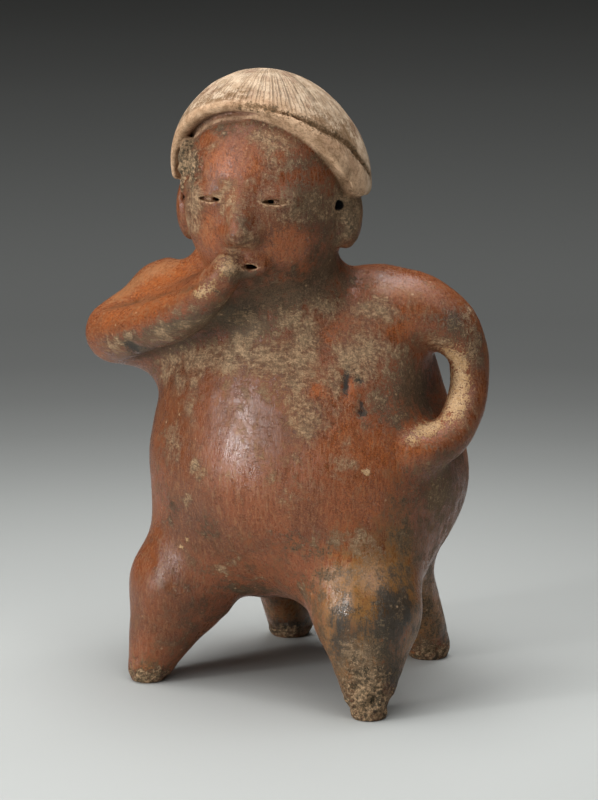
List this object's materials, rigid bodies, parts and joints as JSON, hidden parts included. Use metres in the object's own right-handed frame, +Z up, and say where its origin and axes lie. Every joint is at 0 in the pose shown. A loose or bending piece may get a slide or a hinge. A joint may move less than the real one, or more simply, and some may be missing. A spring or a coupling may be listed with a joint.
{
  "type": "seated figure",
  "caption": "Hollow fired clay seated figure in a cap, right hand at the mouth and left hand on the hip, standing on bent legs and short rear legs.",
  "frame": {"origin": "on the floor plane, under the middle of the figure's bounding box", "axes": "+Z up; the figure looks along -Y and its own left side is at +X"},
  "size_m": [0.2026, 0.155, 0.301],
  "materials": {
    "seated_figure": "satin"
  },
  "bodies": {
    "root": {"seated_figure": "seated_figure"}
  },
  "joints": []
}
